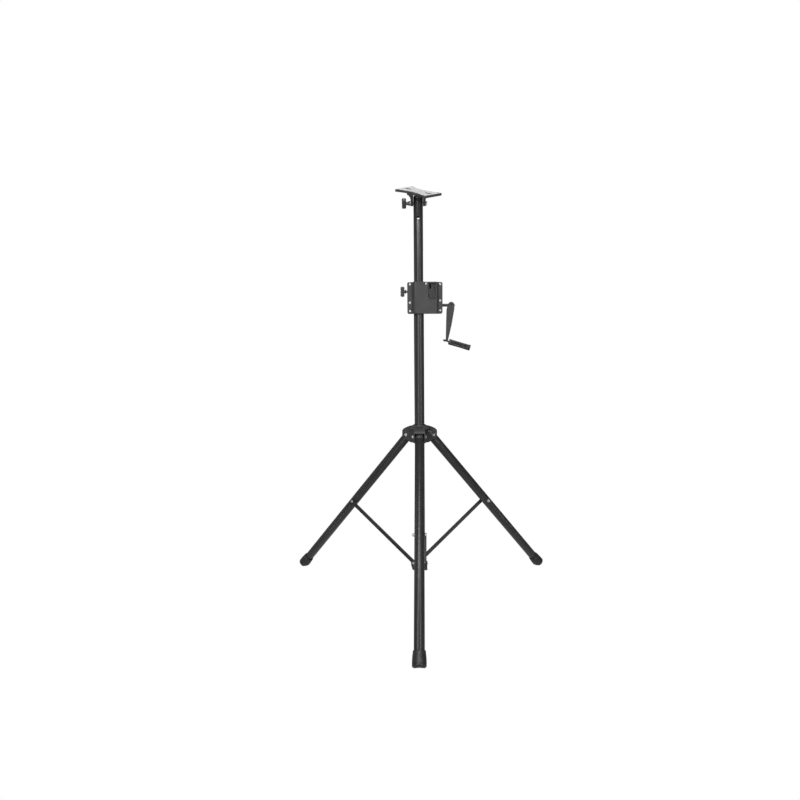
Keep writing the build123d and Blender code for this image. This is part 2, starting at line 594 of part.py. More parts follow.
def worm():
    """A single-start right-hand worm on the crank shaft, a gap facing the wheel."""
    root, tip = 5.4, 8.3
    half = WORM_PITCH * 1.5
    low, high = AXLE_X - half + 0.5, AXLE_X + half - 0.5
    core = rod(root, (low - 0.8, SHAFT_Y, SHAFT_Z), (high + 0.8, SHAFT_Y, SHAFT_Z))
    path = Helix(WORM_PITCH, high - low, root)
    tooth = [(-0.6, -1.15), (tip - root, -0.65), (tip - root, 0.65), (-0.6, 1.15)]
    plane = Plane(origin=(root, 0, 0), x_dir=(1, 0, 0), z_dir=(0, -1, 0))
    profile = plane * make_face(Polyline(*tooth, close=True))
    thread = sweep(profile, path=path, is_frenet=True)
    # the helix starts beside +X of its own frame; turn it so that a gap faces the wheel
    phase = 360.0 * (half - 0.5 + WORM_PITCH / 2) / WORM_PITCH
    turned = Rot(0, 0, -phase) * thread
    place = Plane(origin=(low, SHAFT_Y, SHAFT_Z), z_dir=(1, 0, 0), x_dir=(0, 0, 1))
    thread = place * turned
    ends = rod(tip + 1, (low - 0.8, SHAFT_Y, SHAFT_Z), (high + 0.8, SHAFT_Y, SHAFT_Z))
    body = (core + thread) & ends
    return body - rod(JOURNAL_R, (low - 3, SHAFT_Y, SHAFT_Z), (high + 3, SHAFT_Y, SHAFT_Z))


def crank_shaft():
    shaft = rod(JOURNAL_R, (20.0, SHAFT_Y, SHAFT_Z), (46.0, SHAFT_Y, SHAFT_Z))
    shaft += rod(SHAFT_R, (45.0, SHAFT_Y, SHAFT_Z), (ARM_TOP[0] - 2, SHAFT_Y, SHAFT_Z))
    collar = rod(8.0, (CASE_X[1] - 13.5, SHAFT_Y, SHAFT_Z), (CASE_X[1] - 10.4, SHAFT_Y, SHAFT_Z))
    return shaft + collar


# --- crank ----------------------------------------------------------------
def crank_arm():
    """A cast arm, thick and wide at the shaft and slim at the grip."""
    x, z = ARM_TOP
    half = ARM_WIDTH / 2
    dome = rod(11.5, (x, SHAFT_Y - half, z), (x, SHAFT_Y + half, z))
    outline = [(x - 11.0, z + 3), (x - 17.5, z - 15), (x - 19.0, z - 60), (x - 20.5, z - 134),
               (x - 18.0, z - 137.5), (x - 14.0, z - 137), (x - 12.0, z - 132), (x + 1.0, z - 76),
               (x + 11.6, z - 16), (x + 11.5, z + 1)]
    face = Plane.XZ * make_face(Polyline(*outline, close=True))
    blade = Pos(0, SHAFT_Y + half, 0) * extrude(face, ARM_WIDTH)
    arm = blade + dome
    arm = fillet(arm.edges().filter_by(Plane.XZ), 3.0)
    arm -= rod(SHAFT_R, (x - 30, SHAFT_Y, SHAFT_Z), (x - 2, SHAFT_Y, SHAFT_Z))
    arm -= rod(2.5, (x - 3, SHAFT_Y, SHAFT_Z), (x + 20, SHAFT_Y, SHAFT_Z))
    arm -= rod(3.0, grip_point(-30.0), grip_point(20.0))
    return arm


def grip_point(distance):
    """A point on the grip's axis, measured from the grip's inner end."""
    slope = math.radians(GRIP_SLOPE)
    return (GRIP_START[0] + distance * math.cos(slope), SHAFT_Y,
            GRIP_START[1] - distance * math.sin(slope))


def crank_end_screw():
    x, z = ARM_TOP
    screw = rod(2.5, (x - 2, SHAFT_Y, SHAFT_Z), (x + 12.4, SHAFT_Y, SHAFT_Z))
    return screw + dome_head(5.0, 2.8, (x + 11.55, SHAFT_Y, SHAFT_Z), (1, 0, 0))


def crank_side_rivet():
    """The cross pin that locks the arm to its shaft, with a domed head in front."""
    x, z = ARM_TOP
    return dome_head(3.4, 1.8, (x, SHAFT_Y - ARM_WIDTH / 2, z + 3.0), (0, -1, 0))


def grip_pin():
    pin = rod(3.0, grip_point(-22.0), grip_point(GRIP_LENGTH - 6.0))
    return pin + rod(4.4, grip_point(GRIP_LENGTH - 6.0), grip_point(GRIP_LENGTH - 3.0))


def grip_nut():
    return hex_nut(8.0, grip_point(-12.5), grip_point(-17.0), 3.0)


def crank_grip():
    """The ribbed grip, which turns on its pin."""
    body = rod(GRIP_R, grip_point(0.4), grip_point(GRIP_LENGTH))
    body = fillet(body.edges(), 1.8)
    slope = math.radians(GRIP_SLOPE)
    place = Plane(origin=grip_point(0.0), z_dir=(math.cos(slope), 0, -math.sin(slope)), x_dir=(0, 1, 0))
    for index in range(12):
        flute = Pos(GRIP_R + 0.9, 0, GRIP_LENGTH / 2) * Cylinder(1.9, GRIP_LENGTH - 14)
        body -= place * (Rot(0, 0, index * 30.0) * flute)
    body -= rod(3.0 + RUNNING, grip_point(-1.0), grip_point(GRIP_LENGTH - 5.0))
    body -= rod(4.7, grip_point(GRIP_LENGTH - 6.5), grip_point(GRIP_LENGTH + 1.0))
    return body


# --- lock slider ----------------------------------------------------------
def lock_slider():
    """The sliding catch in the cover's window, with its finger over the sprocket."""
    middle = sum(WINDOW_X) / 2
    face = RAISED_Y + CASE_WALL
    rear = block((middle - 7, middle + 16), (face + 0.3, face + 2.3), (1144.0, 1190.0))
    rear += block((middle - 15, middle + 16), (face + 0.3, face + 2.3), (1170.0, 1190.0))
    tab = block((middle - 10, middle + 10), (RAISED_Y + 0.6, face + 0.6), (1157.0, 1189.0))
    tab = fillet(tab.edges().filter_by(Axis.Y), 1.5)
    notch = rod(4.0, (middle, RAISED_Y - 1, 1156.5), (middle, RAISED_Y + 1.8, 1156.5))
    dish = rod(6.5, (middle, RAISED_Y - 4.6, 1178.0), (middle, RAISED_Y + 1.6, 1178.0))
    body = rear + tab - notch - dish
    bar = block((41.0, 45.0), (face + 2.0, 2.5), (1178.0, 1186.0))
    arm = block((AXLE_X - 1.5, 45.0), (-2.5, 2.5), (1179.0, 1186.0))
    finger = block((AXLE_X - 1.5, AXLE_X + 1.5), (-2.4, 2.4), (AXLE_Z + SPROCKET_R + 3.6, 1182.0))
    return body + bar + arm + finger


# --- mast clamp -----------------------------------------------------------
def clamp_screw():
    return rod(JOURNAL_R, (CLAMP_KNOB_X - 10, 0, CLAMP_Z), (-MAST_R - 3.3, 0, CLAMP_Z))


def clamp_pad():
    pad = rod(3.6, (-MAST_R - 3.3, 0, CLAMP_Z), (-MAST_R + 1, 0, CLAMP_Z))
    return pad - up(MAST_R + 0.35, (CLAMP_Z - 9, CLAMP_Z + 9))


def clamp_knob():
    place = Plane(origin=(CLAMP_KNOB_X, 0, CLAMP_Z), z_dir=(-1, 0, 0), x_dir=(0, 0, 1))
    knob = place * t_knob(38.0, 15.0, 13.0, 6.0)
    return knob - rod(JOURNAL_R, (CLAMP_KNOB_X - 10, 0, CLAMP_Z), (CLAMP_KNOB_X + 1, 0, CLAMP_Z))


# --- mast -----------------------------------------------------------------
def mast_tube():
    tube = up(MAST_R, MAST_Z) - up(MAST_R - MAST_WALL, MAST_Z)
    for index in range(-SLOTS_DOWN, SLOTS_UP + 1):
        z = AXLE_Z + index * SLOT_PITCH
        tube -= block((13.5, 19.0), (-3.6, 3.6), (z - 3.4, z + 3.4))
    tube -= rod(5.5, (0, -30, 1446.5), (0, 30, 1446.5))
    tube -= rod(JOURNAL_R + 0.6, (-30, 0, TILT_Z), (30, 0, TILT_Z))
    return tube


def mast_glide():
    """The plastic plug at the mast's foot, which guides it in the column."""
    low = MAST_Z[0]
    collar = up(COLUMN_R - COLUMN_WALL - 0.1, (low - 10, low))
    collar = chamfer(collar.edges().group_by(Axis.Z)[0], 1.0)
    return collar + up(MAST_R - MAST_WALL, (low, low + 18)) - up(11.0, (low - 11, low + 19))


def mast_top_plug():
    """The turned plug in the mast's head, bored for the tilt bolt and domed on top."""
    high = MAST_Z[1]
    crown = up(MAST_R, (high, high + 12))
    crown = fillet(crown.edges().group_by(Axis.Z)[-1], 6.0)
    plug = up(MAST_R - MAST_WALL, (high - 36, high)) + crown
    return plug - rod(JOURNAL_R + RUNNING, (-30, 0, TILT_Z), (30, 0, TILT_Z))


# --- head -----------------------------------------------------------------
def tilted(part):
    """Place a head piece built level, with the tilt axis at the origin."""
    return Pos(0, 0, TILT_Z) * (Rot(TILT, 0, 0) * part)


def plate_screw_places():
    """Centres of the four screws between the yoke and the plate."""
    return [(x, y) for x in (-12.0, 12.0) for y in (-13.0, 13.0)]


def yoke_gusset():
    """The rib outside an ear, which curves out to the yoke's flat top."""
    low, high = 15.0, PLATE_TOP - PLATE_T
    wing = EAR_X[1] + 13
    edge = Polyline((EAR_X[0] + 2, low), (EAR_X[0] + 2, high), (wing, high), (wing, high - YOKE_T))
    curve = ThreePointArc((wing, high - YOKE_T), (EAR_X[1] + 4, high - 9), (EAR_X[1] + 1, low + 4))
    foot = Line((EAR_X[1] + 1, low + 4), (EAR_X[0] + 2, low))
    face = Plane.XZ * make_face([edge, curve, foot])
    return Pos(0, 12.0, 0) * extrude(face, 24.0)


def head_yoke():
    """The casting that carries the plate: two ears either side of the mast."""
    high = PLATE_TOP - PLATE_T
    flat = high - YOKE_T
    outline = [(-9.0, -9.0), (9.0, -9.0), (11.0, 4.0), (20.0, flat), (20.0, high),
               (-20.0, high), (-20.0, flat), (-11.0, 4.0)]
    face = Plane.YZ * make_face(Polyline(*outline, close=True))
    width = EAR_X[1] - EAR_X[0]
    ear = fillet(extrude(face, width).edges().filter_by(Axis.X).group_by(Axis.Z)[0], 6.0)
    body = Pos(EAR_X[0], 0, 0) * ear + Pos(-EAR_X[1], 0, 0) * ear
    body += block((-EAR_X[1], EAR_X[1]), (-20.0, 20.0), (flat, high))
    body += yoke_gusset() + Rot(0, 0, 180) * yoke_gusset()
    body -= rod(JOURNAL_R, (-40, 0, 0), (40, 0, 0))
    for x, y in plate_screw_places():
        body -= rod(2.5, (x, y, flat - 1), (x, y, high + 1))
    return tilted(body)


def plate_outline():
    """The bow-tie: straight ends and two long sides that curve in."""
    length, end = PLATE_END
    low = ThreePointArc((-length, -end), (0, -PLATE_WAIST), (length, -end))
    right = Line((length, -end), (length, end))
    high = ThreePointArc((length, end), (0, PLATE_WAIST), (-length, end))
    left = Line((-length, end), (-length, -end))
    return make_face([low, right, high, left])


def top_plate():
    low = PLATE_TOP - PLATE_T
    body = extrude(plate_outline(), PLATE_T)
    body = fillet(body.edges().filter_by(Axis.Z), 7.0)
    body = fillet(body.edges().group_by(Axis.Z)[-1], 1.6)
    for x in (-PLATE_HOLES[0], PLATE_HOLES[0]):
        for y in (-PLATE_HOLES[1], PLATE_HOLES[1]):
            body -= Pos(x, y, 0) * Cylinder(3.5, 30)
    for x in (-PLATE_SLOT_X, PLATE_SLOT_X):
        body -= Pos(x, 0, -1) * extrude(SlotOverall(*PLATE_SLOT), 30)
    body = Pos(0, 0, low) * (Rot(0, 0, PLATE_TURN) * body)
    for x, y in plate_screw_places():
        body -= rod(2.5, (x, y, low - 1), (x, y, low + 6))
    return tilted(body)


def plate_screws():
    """Four screws from below, through the yoke's flat top into the plate."""
    group = []
    low = PLATE_TOP - PLATE_T
    for x, y in plate_screw_places():
        screw = rod(2.5, (x, y, low - YOKE_T - 0.2), (x, y, low + 6))
        group.append(screw + dome_head(4.2, 2.4, (x, y, low - YOKE_T), (0, 0, -1)))
    return tilted(Compound(group))


def tilt_bolt():
    end = EAR_X[1]
    bolt = rod(JOURNAL_R, (TILT_KNOB_X - 20, 0, 0), (end + 0.4, 0, 0))
    return tilted(bolt + hex_nut(13.0, (end, 0, 0), (end + 5, 0, 0)))


def tilt_washer():
    return tilted(ring(8.0, JOURNAL_R, (-EAR_X[1] - 2, 0, 0), (-EAR_X[1], 0, 0)))


def tilt_knob():
    place = Plane(origin=(TILT_KNOB_X, 0, 0), z_dir=(-1, 0, 0), x_dir=(0, -0.5, 0.866))
    knob = place * t_knob(42.0, 16.0, 15.0, 14.0)
    return tilted(knob - rod(JOURNAL_R + 0.02, (TILT_KNOB_X - 20.2, 0, 0), (TILT_KNOB_X + 1, 0, 0)))


# --- all pieces -----------------------------------------------------------
def pieces():
    """Node names and the functions that make them."""
    table = {
        "column_tube": column_tube, "column_end_cap": column_end_cap,
        "brace_collar": brace_collar, "collar_screw": collar_screw,
        "lower_brace_bolts": lower_brace_bolts, "hub_casting": hub_casting,
        "hub_pivot_bolts": hub_pivot_bolts, "hub_pivot_nuts": hub_pivot_nuts,
        "hub_clamp_knob": hub_knob, "hub_clamp_screw": hub_clamp_screw,
        "hub_clamp_pad": hub_clamp_pad, "winch_case_back": case_back,
        "winch_case_cover": case_cover, "winch_cover_screws": cover_screws,
        "column_set_screws": column_set_screws, "mast_guide_bush": mast_guide_bush,
        "crank_shaft_bushes": shaft_bushes, "wheel_axle_bushes": axle_bushes,
        "lift_sprocket": lift_sprocket, "worm_wheel": worm_wheel, "wheel_axle": wheel_axle,
        "crank_worm": worm, "crank_shaft": crank_shaft, "crank_arm": crank_arm,
        "crank_end_screw": crank_end_screw, "crank_side_rivet": crank_side_rivet,
        "crank_grip_pin": grip_pin, "crank_grip_nut": grip_nut, "crank_grip": crank_grip,
        "lock_slider": lock_slider, "mast_clamp_screw": clamp_screw,
        "mast_clamp_pad": clamp_pad, "mast_clamp_knob": clamp_knob,
        "mast_tube": mast_tube, "mast_glide": mast_glide, "mast_top_plug": mast_top_plug,
        "head_yoke": head_yoke, "top_plate": top_plate, "plate_screws": plate_screws,
        "tilt_bolt": tilt_bolt, "tilt_washer": tilt_washer, "tilt_knob": tilt_knob,
    }
    made = {name: make() for name, make in table.items()}
    for leg, azimuth in LEG_AZIMUTHS.items():
        made[leg + "_leg_tube"] = leg_tube(azimuth)
        made[leg + "_leg_eye"] = leg_eye(azimuth)
        made[leg + "_leg_boot"] = leg_boot(azimuth)
        made[leg + "_leg_brace_bolt"] = leg_brace_bolt(azimuth)
        made[leg + "_brace"] = brace(azimuth)
        made[leg + "_brace_rivet"] = brace_top_rivet(azimuth)
    return made


if __name__ == "__main__":
    os.makedirs("parts", exist_ok=True)
    for node, shape in pieces().items():
        shape.label = node
        export_step(shape, os.path.join("parts", node + ".step"))
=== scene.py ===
"""Looks of the crank-up tripod stand: materials, detail pieces, camera and studio."""
import json
import math

import bmesh
import bpy
from mathutils import Matrix, Vector


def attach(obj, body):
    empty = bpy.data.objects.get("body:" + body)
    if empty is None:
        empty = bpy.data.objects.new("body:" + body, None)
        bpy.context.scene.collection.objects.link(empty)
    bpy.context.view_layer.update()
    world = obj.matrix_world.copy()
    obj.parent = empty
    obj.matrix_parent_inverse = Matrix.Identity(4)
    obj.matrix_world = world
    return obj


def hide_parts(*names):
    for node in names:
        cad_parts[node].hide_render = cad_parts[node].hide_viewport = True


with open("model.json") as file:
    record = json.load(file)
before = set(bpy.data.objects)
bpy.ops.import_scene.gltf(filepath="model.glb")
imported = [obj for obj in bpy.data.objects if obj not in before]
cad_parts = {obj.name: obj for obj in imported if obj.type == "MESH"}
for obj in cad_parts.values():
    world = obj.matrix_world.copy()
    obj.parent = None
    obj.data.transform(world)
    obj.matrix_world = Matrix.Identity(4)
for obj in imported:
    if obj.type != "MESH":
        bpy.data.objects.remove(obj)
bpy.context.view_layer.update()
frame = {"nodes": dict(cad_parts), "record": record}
NODES = frame["nodes"]
JOINTS = {joint["name"]: joint for joint in frame["record"]["behaviour"]["joints"]}
MM = 0.001
WELD_DISTANCE = 0.01 * MM    # vertices of a CAD mesh that are closer than this are one
EDGE_WIDTH = 0.4 * MM        # how far the edges of the CAD pieces are broken
EDGE_ANGLE = 35              # degrees between two faces from which their edge is broken
SMOOTH_ANGLE = 38            # degrees up to which a mesh piece is shaded smooth


# --- materials ------------------------------------------------------------
def new_material(name):
    mat = bpy.data.materials.new(name)
    mat.use_nodes = True
    nodes = mat.node_tree.nodes
    nodes.clear()
    out = nodes.new("ShaderNodeOutputMaterial")
    shader = nodes.new("ShaderNodeBsdfPrincipled")
    mat.node_tree.links.new(shader.outputs["BSDF"], out.inputs["Surface"])
    return mat, mat.node_tree, shader


def noise(tree, scale, detail=3.0, roughness=0.55):
    """3-D noise in the object's own space, its scale in features per metre."""
    coords = tree.nodes.new("ShaderNodeTexCoord")
    texture = tree.nodes.new("ShaderNodeTexNoise")
    texture.inputs["Scale"].default_value = scale
    texture.inputs["Detail"].default_value = detail
    texture.inputs["Roughness"].default_value = roughness
    tree.links.new(coords.outputs["Object"], texture.inputs["Vector"])
    return texture.outputs["Fac"]


def ramp(tree, source, low, high):
    """Blend two colours over the middle of a noise's range."""
    node = tree.nodes.new("ShaderNodeValToRGB")
    first, last = node.color_ramp.elements
    first.position, last.position = 0.3, 0.7
    first.color = (*low, 1.0)
    last.color = (*high, 1.0)
    tree.links.new(source, node.inputs["Fac"])
    return node.outputs["Color"]


def spread(tree, source, low, high):
    """Map a 0 to 1 value to a range."""
    node = tree.nodes.new("ShaderNodeMapRange")
    node.inputs["To Min"].default_value = low
    node.inputs["To Max"].default_value = high
    tree.links.new(source, node.inputs["Value"])
    return node.outputs["Result"]


def bump(tree, shader, height, distance):
    """Fine relief, the distance being its depth in metres."""
    node = tree.nodes.new("ShaderNodeBump")
    node.inputs["Distance"].default_value = distance
    node.inputs["Strength"].default_value = 1.0
    tree.links.new(height, node.inputs["Height"])
    tree.links.new(node.outputs["Normal"], shader.inputs["Normal"])


def powder_coat(name, dark, light, rough, grain, depth):
    """Paint with orange peel, faint cloudiness and a little dust in the roughness."""
    mat, tree, shader = new_material(name)
    cloud = noise(tree, 22.0, 4.0)
    dust = noise(tree, 60.0, 5.0, 0.65)
    tree.links.new(ramp(tree, cloud, dark, light), shader.inputs["Base Color"])
    tree.links.new(spread(tree, dust, *rough), shader.inputs["Roughness"])
    bump(tree, shader, noise(tree, grain, 2.0), depth)
    return mat


def steel(name, dark, light, rough, grain, metallic):
    """Plated or machined steel, a little uneven in its gloss."""
    mat, tree, shader = new_material(name)
    shader.inputs["Metallic"].default_value = metallic
    cloud = noise(tree, 180.0, 4.0)
    marks = noise(tree, grain)
    tree.links.new(ramp(tree, cloud, dark, light), shader.inputs["Base Color"])
    tree.links.new(spread(tree, marks, *rough), shader.inputs["Roughness"])
    bump(tree, shader, noise(tree, grain * 2, 2.0), 0.04 * MM)
    return mat


def plastic(name, dark, light, rough, depth):
    """Moulded plastic with a fine spark-eroded texture."""
    mat, tree, shader = new_material(name)
    cloud = noise(tree, 45.0)
    wear = noise(tree, 90.0, 4.0)
    tree.links.new(ramp(tree, cloud, dark, light), shader.inputs["Base Color"])
    tree.links.new(spread(tree, wear, *rough), shader.inputs["Roughness"])
    bump(tree, shader, noise(tree, 2600.0, 2.0), depth)
    return mat


def grey(value, warm=0.0):
    """A linear grey, warmed by as much red more and blue less."""
    return (value + warm, value, value - warm)


def make_materials():
    """The materials by name: dark and light tone, range of roughness, and relief."""
    return {
        "tube_black": powder_coat("tube_powder_coat", grey(0.010), grey(0.014), (0.32, 0.38),
                                  grain=900.0, depth=0.01 * MM),
        "cast_black": powder_coat("cast_powder_coat", grey(0.013), grey(0.023), (0.46, 0.60),
                                  grain=1500.0, depth=0.12 * MM),
        "plate_paint": powder_coat("plate_powder_coat", grey(0.022), grey(0.030), (0.20, 0.30),
                                   grain=1100.0, depth=0.06 * MM),
        "black_plastic": plastic("moulded_black_plastic", grey(0.018), grey(0.030), (0.28, 0.40),
                                 depth=0.06 * MM),
        "grip_plastic": plastic("glossy_grip_plastic", grey(0.010), grey(0.015), (0.20, 0.28),
                                depth=0.03 * MM),
        "boot_rubber": plastic("boot_black_rubber", grey(0.007), grey(0.013), (0.38, 0.50),
                               depth=0.08 * MM),
        "black_steel": steel("blackened_steel", grey(0.045), grey(0.075), (0.34, 0.48),
                             grain=700.0, metallic=1.0),
        "zinc_steel": steel("zinc_plate", grey(0.50, 0.008), grey(0.64, 0.008), (0.32, 0.46),
                            grain=700.0, metallic=0.8),
        "gear_steel": steel("machined_steel", grey(0.34), grey(0.48), (0.25, 0.40),
                            grain=900.0, metallic=1.0),
    }


MATERIALS = make_materials()


def dress_frame():
    """Give every CAD node its material and softly broken edges."""
    slots = {part["node"]: part["material_slot"] for part in frame["record"]["subparts"]}
    for name, obj in NODES.items():
        obj.data.materials.clear()
        obj.data.materials.append(MATERIALS[slots[name]])
        weld = obj.modifiers.new("weld", "WELD")
        weld.merge_threshold = WELD_DISTANCE
        bevel = obj.modifiers.new("bevel", "BEVEL")
        bevel.width = EDGE_WIDTH
        bevel.segments = 2
        bevel.limit_method = "ANGLE"
        bevel.angle_limit = math.radians(EDGE_ANGLE)
        bevel.harden_normals = True


dress_frame()


# --- mesh building --------------------------------------------------------
def close_mesh(bm, name):
    """Turn the faces outwards and store the mesh."""
    bmesh.ops.recalc_face_normals(bm, faces=bm.faces)
    mesh = bpy.data.meshes.new(name)
    bm.to_mesh(mesh)
    bm.free()
    return mesh


def loft(name, rings):
    """Skin a closed solid over rings of equally many points, fanned shut at both ends."""
    bm = bmesh.new()
    rows = [[bm.verts.new(point) for point in ring] for ring in rings]
    for low, high in zip(rows, rows[1:]):
        for index in range(len(low)):
            after = (index + 1) % len(low)
            bm.faces.new((low[index], low[after], high[after], high[index]))
    for row in (rows[0], rows[-1]):
        middle = bm.verts.new(sum((vert.co for vert in row), Vector()) / len(row))
        for index, vert in enumerate(row):
            bm.faces.new((vert, row[(index + 1) % len(row)], middle))
    return close_mesh(bm, name)


def place_piece(name, mesh, slot, body, replaced=None, finish=None):
    """Shade a mesh smooth except at its edges, paint it and let it ride on its body.

    The slot is the piece's material slot in the record. The finish is the material it shows,
    where that isn't the slot's own.
    """
    for face in mesh.polygons:
        face.use_smooth = True
    mesh.set_sharp_from_angle(angle=math.radians(SMOOTH_ANGLE))
    mesh.materials.append(MATERIALS[finish or slot])
    piece = bpy.data.objects.new(name, mesh)
    bpy.context.scene.collection.objects.link(piece)
    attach(piece, body)
    if replaced:
        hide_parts(replaced)
    return piece


def axes_at(origin, axis, side):
    """A matrix with its z along the axis and its x along side."""
    z = Vector(axis).normalized()
    x = (Vector(side) - z * Vector(side).dot(z)).normalized()
    y = z.cross(x)
    turn = Matrix((x, y, z)).transposed().to_4x4()
    return Matrix.Translation(origin) @ turn


def circle(place, height, radius, count, shape=None):
    """A ring of points about the local z; shape scales the radius by the angle."""
    points = []
    for index in range(count):
        a = 2 * math.pi * index / count
        r = radius * (shape(a) if shape else 1.0)
        points.append(place @ Vector((r * math.cos(a), r * math.sin(a), height)))
    return points


def turned(name, place, profile, count):
    """A lathed solid from (height, radius) pairs."""
    return loft(name, [circle(place, height, radius, count) for height, radius in profile])


def arc(centre, radius, start, end, steps):
    """(height, radius) pairs of a rounded corner, angles in degrees from the axis."""
    pairs = []
    for index in range(steps + 1):
        a = math.radians(start + (end - start) * index / steps)
        pairs.append((centre[0] + radius * math.cos(a), centre[1] + radius * math.sin(a)))
    return pairs


# --- clamp knobs ----------------------------------------------------------
SECTION_POINTS = 28      # points in a ring across the bar
SQUARENESS = 0.42        # exponent of the bar's section, lower is squarer
BAR_STEPS = 24           # steps along the bar
BAR_SLIM = 0.86          # size of the bar beside the neck, its wings being 1
BAR_HEIGHT_PART = 0.35   # how much of that slimming the bar's height takes part in
WING_START = 0.7         # where the wings are full, as a part of the bar's half length
BAR_NOSE = 0.28          # length of the bar's rounded ends, as a part of its thickness
BAR_TIP = 0.02           # size of the bar's last ring
FLARE_STEPS = 8          # steps along the flare of the neck
TILT_KNOB_X = -30.2      # where the three knobs start, in millimetres from the column's axis
MAST_KNOB_X = -47.5
HUB_KNOB_R = 39.0
TILT_KNOB_TURN = 143     # direction of the tilt knob's bar, in degrees about X from Y


def rounded_section(place, along, half_y, low, high):
    """A squircle ring across the bar of a T-knob."""
    ring = []
    middle = (low + high) / 2
    half_z = (high - low) / 2
    for index in range(SECTION_POINTS):
        a = 2 * math.pi * index / SECTION_POINTS
        c, d = math.cos(a), math.sin(a)
        y = half_y * math.copysign(abs(c) ** SQUARENESS, c)
        z = middle + half_z * math.copysign(abs(d) ** SQUARENESS, d)
        ring.append(place @ Vector((along, y, z)))
    return ring


def t_bar(name, place, length, width, thickness, neck):
    """The bar: two wings that swell towards their rounded ends, slim at the neck."""
    half = length / 2
    nose = thickness * BAR_NOSE
    middle = neck + width / 2
    rings = []
    for index in range(BAR_STEPS + 1):
        t = -math.cos(math.pi * index / BAR_STEPS)
        along = half * t
        wing = BAR_SLIM + (1 - BAR_SLIM) * min(1.0, (abs(t) / WING_START) ** 2)
        over = max(0.0, abs(along) - (half - nose)) / nose
        round_off = max(BAR_TIP, math.sqrt(max(0.0, 1.0 - over * over)))
        height = BAR_HEIGHT_PART * wing + 1 - BAR_HEIGHT_PART
        reach = width / 2 * height * round_off
        half_y = thickness / 2 * wing * round_off
        rings.append(rounded_section(place, along, half_y, middle - reach, middle + reach))
    return loft(name, rings)


def t_neck(name, place, width, thickness, neck):
    """The neck: a collar at its foot, then a flare that thins up to the middle of the bar."""
    foot = thickness * 0.60
    waist = thickness * 0.40
    collar = 2.8 * MM
    rim = foot - 0.9 * MM
    into_bar = 1.0 * MM
    profile = [(0.2 * MM, foot - 0.6 * MM), (0.8 * MM, foot), (2.2 * MM, foot), (collar, rim)]
    for index in range(1, FLARE_STEPS + 1):
        t = index / FLARE_STEPS
        height = collar + (neck + into_bar - collar) * t
        profile.append((height, waist + (rim - waist) * (1 - t) ** 2))
    profile.append((neck + width * 0.5, waist))
    return turned(name, place, profile, 40)


def t_cap(name, place, top):
    """A round cap let into the far side of the bar, with a shallow dish in it."""
    rim = top - 0.15 * MM
    dish = top - 0.9 * MM
    profile = [(top - 2.4 * MM, 3.4 * MM), (top - 0.5 * MM, 3.4 * MM), (rim, 3.0 * MM), (rim, 2.1 * MM),
               (dish, 1.9 * MM), (dish, 0.2 * MM)]
    return turned(name, place, profile, 32)


def t_knob(node, body, origin, axis, side, length, width, thickness, neck):
    """A moulded T-knob in the CAD knob's place, its sizes in millimetres."""
    place = axes_at(origin, axis, side)
    sizes = [value * MM for value in (length, width, thickness, neck)]
    bar = place_piece(node + "_wings", t_bar(node + "_wings", place, *sizes), "black_plastic", body, node)
    smooth = bar.modifiers.new("smooth", "SUBSURF")
    smooth.levels = 1
    smooth.render_levels = 1
    place_piece(node + "_neck", t_neck(node + "_neck", place, *sizes[1:]), "black_plastic", body)
    top = sizes[3] + sizes[1]
    place_piece(node + "_cap", t_cap(node + "_cap", place, top), "black_plastic", body)


def make_knobs():
    """The knobs of the tilt, of the mast's clamp and of the hub's clamp."""
    turn = math.radians(TILT_KNOB_TURN)
    side = (0, math.cos(turn), math.sin(turn))
    pivot = Vector(JOINTS["tilt_knob_turn"]["pos_m"])
    t_knob("tilt_knob", "tilt_knob", (TILT_KNOB_X * MM, pivot.y, pivot.z), (-1, 0, 0), side,
           length=42.0, width=16.0, thickness=15.0, neck=14.0)
    pivot = Vector(JOINTS["mast_clamp_turn"]["pos_m"])
    t_knob("mast_clamp_knob", "mast_clamp", (MAST_KNOB_X * MM, pivot.y, pivot.z), (-1, 0, 0), (0, 0, 1),
           length=38.0, width=15.0, thickness=13.0, neck=6.0)
    joint = JOINTS["hub_clamp_turn"]
    axis = Vector(joint["axis"])
    foot = axis * HUB_KNOB_R * MM + Vector((0, 0, joint["pos_m"][2]))
    t_knob("hub_clamp_knob", "hub_clamp", foot, axis, (-axis.y, axis.x, 0),
           length=42.0, width=14.0, thickness=14.0, neck=13.0)


# --- crank grip -----------------------------------------------------------
GRIP_R = 11.2            # in millimetres
FLUTES = 10
FLUTE_DEPTH = 0.17       # as a part of the radius
FLUTE_POINTS = 16        # points across one flute
FLUTES_FROM = 10.5       # where the flutes are full, in millimetres along the grip
FLUTES_TO = 74.5
GRIP_WAIST = 0.035       # how much slimmer the grip is half-way, as a part of the radius
GRIP_STEPS = 8


def fluted(depth):
    """The flutes as a factor of the radius at each angle."""
    return lambda a: 1.0 - depth * (0.5 - 0.5 * math.cos(FLUTES * a)) ** 2


